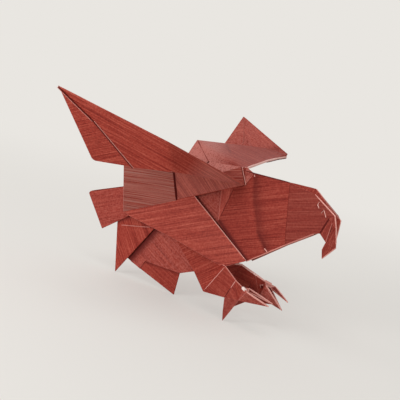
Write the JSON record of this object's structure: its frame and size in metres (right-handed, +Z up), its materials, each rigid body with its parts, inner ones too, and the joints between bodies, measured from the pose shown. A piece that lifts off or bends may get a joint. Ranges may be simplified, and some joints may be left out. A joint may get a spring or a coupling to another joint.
{
  "type": "origami eagle",
  "caption": "Paper eagle folded from one square sheet, with raised wings, a hooked beak and feet held out to the front.",
  "frame": {"origin": "middle of the footprint of the standing bird, on the ground", "axes": "+X forward to the beak, +Y to the bird's left wing, +Z up from the ground"},
  "size_m": [0.1994, 0.244, 0.1276],
  "materials": {
    "red_wood_grain_paper": "matte red paper printed with a fine wood grain"
  },
  "bodies": {
    "root": {"folded_eagle": "red_wood_grain_paper"}
  },
  "joints": []
}
